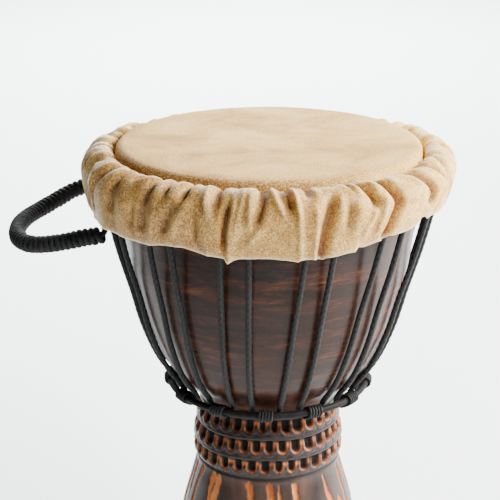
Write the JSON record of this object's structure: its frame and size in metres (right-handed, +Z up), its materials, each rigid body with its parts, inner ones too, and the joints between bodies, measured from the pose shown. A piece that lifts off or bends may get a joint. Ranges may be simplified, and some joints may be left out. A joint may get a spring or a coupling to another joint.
{
  "type": "djembe",
  "caption": "Goblet-shaped wooden hand drum with a rope-tuned goatskin head, a ruffled skin collar and a whipped rope carrying handle.",
  "frame": {"origin": "centre of the bottom of the whole object's box, on the floor; the drum's own axis stands 0.033 m to +X of it because the handle reaches out to -X", "axes": "+Z up from the foot to the playing surface, -X towards the handle, -Y towards the front"},
  "size_m": [0.3735, 0.308, 0.5],
  "materials": {
    "carved_wood": "dark stained hardwood, satin, with raw orange wood in the cuts",
    "rawhide": "scraped goatskin, matt",
    "ring_steel": "black painted rod",
    "black_rope": "braided polyester rope",
    "black_cord": "thin braided cord"
  },
  "bodies": {
    "drum": {"shell": "carved_wood", "goat_skin": "rawhide", "flesh_ring": "ring_steel", "crown_ring": "ring_steel", "bottom_ring": "ring_steel", "lacing_rope": "black_rope", "ring_lashing_01": "black_cord", "ring_lashing_02": "black_cord", "ring_lashing_03": "black_cord", "ring_lashing_04": "black_cord", "ring_lashing_05": "black_cord", "ring_lashing_06": "black_cord", "ring_lashing_07": "black_cord", "ring_lashing_08": "black_cord", "ring_lashing_09": "black_cord", "ring_lashing_10": "black_cord", "ring_lashing_11": "black_cord", "ring_lashing_12": "black_cord", "ring_lashing_13": "black_cord", "handle_lashing_near": "black_cord", "handle_lashing_far": "black_cord"},
    "handle": {"handle_core": "black_rope", "handle_wrap": "black_rope"}
  },
  "joints": [
    {"name": "handle_swing", "type": "hinge", "parent": "drum", "child": "handle", "pos_m": [-0.09927, 0.00855, 0.453], "axis": [0.0645, 0.9979, 0], "range_deg": [-20, 5]}
  ]
}
